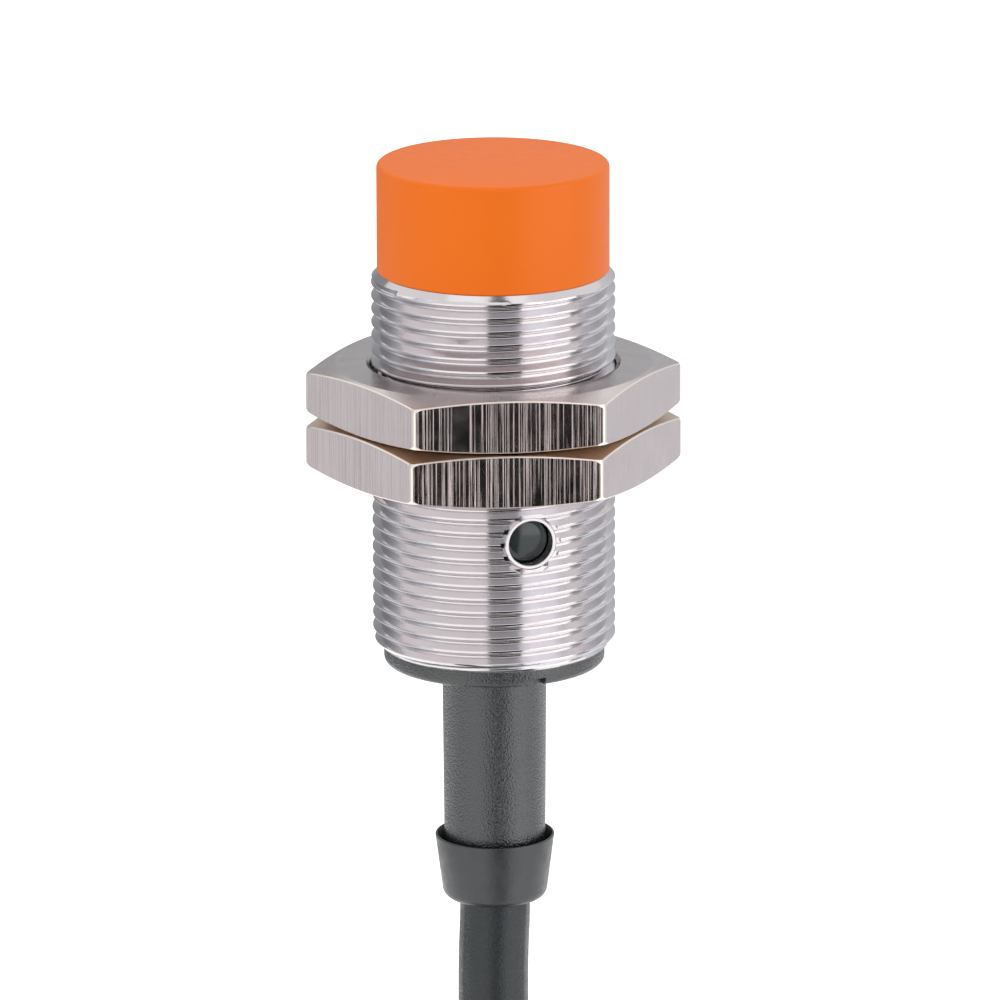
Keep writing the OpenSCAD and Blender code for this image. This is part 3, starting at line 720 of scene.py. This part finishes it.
def thread_profile():
    """(distance down, radius) over one pitch, with each corner split in two."""
    down, up = CREST_W + FLANK, PITCH - FLANK
    return [
        (EDGE, CREST_R), (CREST_W - EDGE, CREST_R), (CREST_W + slope.x, CREST_R - slope.y),
        (CREST_W + FLANK / 2, CREST_R - DEPTH / 2),
        (down - slope.x, ROOT_R + slope.y), (down + EDGE, ROOT_R), (up - EDGE, ROOT_R),
        (up + slope.x, ROOT_R + slope.y), (up + FLANK / 2, CREST_R - DEPTH / 2),
        (PITCH - slope.x, CREST_R - slope.y),
    ]


print("points in a pitch:", len(thread_profile()))


# %% Build the barrel
def barrel_column(angle, turns=31):
    """The outline of the barrel at one angle, from the top down and back up the bore."""
    lift = PITCH * (angle - 270) / 360 + CREST_AT_FRONT + 2 * PITCH
    points = []
    for turn in range(turns):
        for down, radius in thread_profile():
            z = min(max(lift - turn * PITCH - down, BARREL_END), BARREL_TOP)
            room = min(BARREL_TOP - z - FRONT_CHAMFER, z - BARREL_END - REAR_CHAMFER, 0)
            if z > PLAIN_FROM:
                radius = CREST_R
            points.append((min(radius, CREST_R + room), z))
    return points + [(BORE_R, BARREL_END), (BORE_R, BARREL_TOP)]


BARREL_SIDES, BARREL_SHARP = 160, 25
columns = [barrel_column(360 * s / BARREL_SIDES) for s in range(BARREL_SIDES + 1)]
verts = []
for s, column in enumerate(columns):
    verts += column_at(2 * math.pi * s / BARREL_SIDES, column)
faces = quads(len(columns), len(columns[0]), joined=False)
barrel = solid("barrel_thread", verts, faces, sharp=BARREL_SHARP)
print("barrel faces:", len(barrel.data.polygons))

# %% [markdown]
# ## Indicator window
# The window is a drilled hole with a smoked lens deep in it. Round the hole, the thread is cut
# away as far as the barrel's curve just under its crests, and a flat bright rim is left. The
# cuts are Booleans, because a thread can't be drilled by hand-placed points. The rim is a small
# turned ring of its own, so that its edge stays clean where it crosses the thread.

# %% Cut the thread away and drill the hole
WINDOW_Z, WINDOW_ANGLE, WINDOW_R, RIM_R = BARREL_END + 9.8, 18, 1.675, 1.95
window_frame = (
    Matrix.Translation((0, 0, WINDOW_Z * MM))
    @ Matrix.Rotation(math.radians(WINDOW_ANGLE), 4, "Z")
    @ Matrix.Rotation(math.radians(90), 4, "X")
)
RIM_FLOOR, RIM_TOP, SPOT_R, SPOT_FLOOR = 8.2, 8.74, 2.3, 8.8
PAST_CREST = 10


def saddle_ring(name, profile, sides=96):
    """A ring round the window's axis. Its profile is (distance from that axis, barrel radius)."""
    verts = []
    for s in range(sides):
        a = 2 * math.pi * s / sides
        for rho, barrel_r in profile:
            x, y = rho * math.cos(a), rho * math.sin(a)
            verts.append((x * MM, y * MM, math.sqrt(barrel_r**2 - x**2) * MM))
    return solid(name, verts, quads(sides, len(profile)), window_frame)


spot = saddle_ring("spot", [
    (1.2, SPOT_FLOOR), (SPOT_R, SPOT_FLOOR), (SPOT_R, PAST_CREST), (1.2, PAST_CREST),
])
carve(barrel, spot, sharp=BARREL_SHARP)
drill = turned("drill", [
    (0, 3), (WINDOW_R, 3), (WINDOW_R, RIM_FLOOR), (RIM_R, RIM_FLOOR), (RIM_R, PAST_CREST),
    (0, PAST_CREST),
], sides=64, frame_of=window_frame)
carve(barrel, drill, sharp=BARREL_SHARP)
fit(barrel, "sensor", "barrel", "nickel_brass_thread")

# %% Turn the window's rim and lens
rim = turned("window_rim", [
    (WINDOW_R, RIM_FLOOR), (WINDOW_R, RIM_TOP - 0.04), (WINDOW_R + 0.04, RIM_TOP),
    (RIM_R - 0.06, RIM_TOP), (RIM_R, RIM_TOP - 0.06), (RIM_R + 0.1, 8.3), (RIM_R, RIM_FLOOR),
], sides=96, frame_of=window_frame)
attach(rim, "sensor")
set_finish(rim, "nickel_brass_thread")
rim.data.materials.append(FINISH["nickel_brass_thread"])

LENS_R, FLANGE_R, FLANGE_LOW, FLANGE_TOP = WINDOW_R - 0.05, 2.3, 6.6, 7.18
lens = turned("window_glass", rounded([
    (0, FLANGE_LOW, 0), (FLANGE_R, FLANGE_LOW, 0.05), (FLANGE_R, FLANGE_TOP, 0.05),
    (LENS_R, FLANGE_TOP, 0), (LENS_R, 7.55, 0.06), (1.5, 7.654, 0), (1.2, 7.707, 0),
    (0.8, 7.759, 0), (0.4, 7.79, 0), (0, 7.8, 0),
]), sides=64, frame_of=window_frame)
fit(lens, "sensor", "window_lens", "smoked_lens")

# %% [markdown]
# ## Nuts
# Each nut is a slice of hexagon bar, 24 mm across its flats, with its corners turned off at 13.5
# degrees. A Boolean of a prism and a cone gives the shape, but not the fine worn edges, so the
# outline is walked corner by corner: every point of the hexagon knows its distance from the axis,
# and the cone's height follows from that. Each face of the mesh then gets the finish of the tool
# that made it: drawn flats and turned faces. The worn edges between them are cream, warmed by the
# brass and paler than the plate as a painted highlight. The rear nut's top chamfer is painted
# tan, for the warm reflection and shade between the two nuts.

# %% Outline of the hexagon
FLAT_R, CORNER_ROUND = 12.0, 0.3
CORNER_AT = (FLAT_R - CORNER_ROUND) / math.cos(math.radians(30))
HALF_FLAT = CORNER_AT / 2


def hexagon(turn):
    """(point, distance from the flat's end) all round, closer together near the corners."""
    near_end = [0.08, 0.18, 0.3, 0.45, 0.65, 0.95]
    across = sorted([HALF_FLAT - d for d in near_end] + [d - HALF_FLAT for d in near_end]
                    + list(np.linspace(1.5 - HALF_FLAT, HALF_FLAT - 1.5, 17)))
    outline = []
    for corner in range(6):
        a0 = math.radians(turn + 60 * corner)
        centre = Vector((CORNER_AT * math.cos(a0), CORNER_AT * math.sin(a0)))
        for k in range(-3, 4):
            a = a0 + math.radians(10 * k)
            outline.append((centre + CORNER_ROUND * Vector((math.cos(a), math.sin(a))), 0))
        after = a0 + math.radians(30)
        out = Vector((math.cos(after), math.sin(after))) * FLAT_R
        side = Vector((-math.sin(after), math.cos(after)))
        outline += [(out + side * t, HALF_FLAT - abs(t)) for t in across]
    return outline


print("points in a nut's outline:", len(hexagon(0)))


# %% Build a nut
NUT_BORE_R, BORE_BREAK, LIP = 9.28, 0.06, 0.1
FACE_R, CONE = 11.65, math.tan(math.radians(13.5))


def nut_column(point, from_end, z0, z1):
    """The nut's section from its bore to one point of the hexagon and back."""
    bevel = 0.07 + 0.15 * max(0, 1 - from_end / 0.5) ** 2
    drop = max(point.length - FACE_R, 0) * CONE
    inward = point.normalized()
    return [
        (inward * NUT_BORE_R, z0 + BORE_BREAK), (inward * (NUT_BORE_R + BORE_BREAK), z0),
        (inward * FACE_R, z0), (point - inward * LIP, z0 + drop - LIP * CONE),
        (point, z0 + drop + bevel), (point, z1 - drop - bevel),
        (point - inward * LIP, z1 - drop + LIP * CONE), (inward * FACE_R, z1),
        (inward * (NUT_BORE_R + BORE_BREAK), z1), (inward * NUT_BORE_R, z1 - BORE_BREAK),
    ]


def finish_of(face, turn, painted_top):
    """Which of a nut's finishes a face has: 0 turned, 1 drawn, 2 worn edge with a painted
    highlight, 3 painted warm reflection and shade.
    """
    r = face.center.xy.length / MM
    if r < FACE_R:
        return 0
    azimuth = math.degrees(math.atan2(face.center.y, face.center.x)) - turn
    sideways = abs(r * math.sin(math.radians(azimuth % 60 - 30)))
    if abs(face.normal.z) < 0.1 and sideways < HALF_FLAT - 0.1:
        return 1
    # Corner roundings and edge bevels get the pale worn-edge finish, which paints a highlight.
    if abs(face.normal.z) < 0.9:
        return 2
    # The rear nut's top chamfer gets the tan paint of reflection and shade between the nuts.
    return 3 if painted_top and face.normal.z > 0 else 0


def nut(name, node, turn, painted_top=False):
    """A hexagon nut between the heights of its CAD node, turned by an angle in degrees."""
    low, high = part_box(node)
    columns = [nut_column(*spot, low.z / MM, high.z / MM) for spot in hexagon(turn)]
    verts = [(p.x * MM, p.y * MM, z * MM) for column in columns for p, z in column]
    piece = solid(name, verts, quads(len(columns), len(columns[0])), sharp=8)
    # The last two finishes paint light: a highlight on the worn edges, and warm reflection and
    # shade on the rear nut's top chamfer.
    for finish in (FINISH["nickel_brass_nut"], drawn, edge_wear_and_highlight, nut_top_painted_reflection):
        piece.data.materials.append(finish)
    for face in piece.data.polygons:
        face.material_index = finish_of(face, turn, painted_top)
    return piece


front_nut = nut("front_hexagon_nut", "front_nut", 5.5)
fit(front_nut, "front_nut_hex", "front_nut", "nickel_brass_nut")
# Its top chamfer is painted tan, for the warm reflection and shade under the front nut.
rear_nut = nut("rear_hexagon_nut", "rear_nut", 4.5, painted_top=True)
fit(rear_nut, "rear_nut_hex", "rear_nut", "nickel_brass_nut")

# %% [markdown]
# ## End cap, sleeve and ring
# The end cap is one moulding: a disc under the barrel, a plug inside it, and the long sleeve
# round the cable. A small key notch in the disc's edge stops it turning in its mould. The ring is
# pushed onto the sleeve's end and grips the cable. All of it is round but the notch, so two
# turned profiles and one small cut make it.

# %% Turn the end cap and cut its notch
end_low, end_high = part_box("end_cap")
DISC_R, DISC_Z = end_high.x / MM, BARREL_END - 1.25
STEM_TOP_R, STEM_LOW_R, CABLE_HOLE_R, PLUG_IN_R = 3.85, 3.75, 2.65, 5.65
STEM_END, PLUG_TOP = end_low.z / MM, end_high.z / MM
RING_TOP, RING_LOW = ring_high.z / MM, ring_low.z / MM
end_cap = turned("end_cap_moulding", rounded([
    (DISC_R, BARREL_END, 0.05), (DISC_R, DISC_Z, 0.45), (STEM_TOP_R, DISC_Z, 0.15),
    (STEM_LOW_R, RING_TOP, 0), (STEM_LOW_R, STEM_END, 0.1), (CABLE_HOLE_R, STEM_END, 0.05),
    (CABLE_HOLE_R, BARREL_END, 0), (PLUG_IN_R, BARREL_END + 0.6, 0), (PLUG_IN_R, PLUG_TOP, 0.1),
    (BORE_FIT_R, PLUG_TOP, 0.1), (BORE_FIT_R, BARREL_END, 0),
], steps=6), sides=192)
NOTCH_ANGLE, NOTCH_W, NOTCH_H, NOTCH_DEEP = 23, 1.3, 0.6, 0.9
notch_frame = Matrix.Rotation(math.radians(NOTCH_ANGLE), 4, "Z")
notch = [(x, y, z) for x in (-NOTCH_W / 2, NOTCH_W / 2)
         for y in (-DISC_R - 1, -DISC_R + NOTCH_DEEP) for z in (DISC_Z - 1, DISC_Z + NOTCH_H)]
box_faces = [(0, 1, 3, 2), (4, 6, 7, 5), (0, 4, 5, 1), (2, 3, 7, 6), (0, 2, 6, 4), (1, 5, 7, 3)]
key = solid("key", [Vector(p) * MM for p in notch], box_faces, notch_frame)
carve(end_cap, key)
fit(end_cap, "sensor", "end_cap", "black_pbt")

# %% Turn the ring, with a thin lip that opens round the sleeve
RIM_WALL_R, SEAT_R, RING_FOOT_R = ring_high.x / MM, 3.95, 3.8
LIP_W, FUNNEL_Z, SEAT_Z = 0.16, RING_TOP - 0.8, RING_TOP - 2.05
ring = turned("sleeve_ring", rounded([
    (RIM_WALL_R - LIP_W, RING_TOP, 0.04), (RIM_WALL_R, RING_TOP, 0.09),
    (RING_FOOT_R, RING_LOW, 0.8), (CABLE_HOLE_R, RING_LOW, 0.1), (CABLE_HOLE_R, SEAT_Z, 0),
    (SEAT_R, SEAT_Z, 0.1), (SEAT_R, FUNNEL_Z, 0.2),
], steps=6), sides=160)
fit(ring, "sensor", "compression_ring", "black_sleeve")
